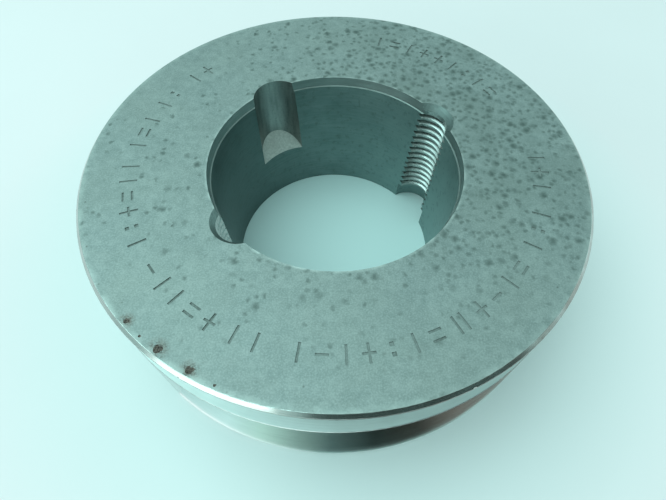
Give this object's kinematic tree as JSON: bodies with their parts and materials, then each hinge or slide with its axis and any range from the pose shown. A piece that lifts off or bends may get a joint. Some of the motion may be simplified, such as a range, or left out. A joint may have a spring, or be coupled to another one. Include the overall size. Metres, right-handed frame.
{
  "type": "v belt pulley",
  "caption": "Narrow-section V belt pulley with one groove, a wide lower rim and an open taper bore with half-round screw holes.",
  "frame": {"origin": "centre of the underside face, on the bore axis", "axes": "+Z along the bore axis, towards the face with the large end of the taper; one tapped half-hole at 31.2 degrees from +X"},
  "size_m": [0.094, 0.094, 0.0286],
  "materials": {
    "cast_iron": "matt cast face, turned rim and bore"
  },
  "bodies": {
    "root": {"pulley": "cast_iron"}
  },
  "joints": []
}
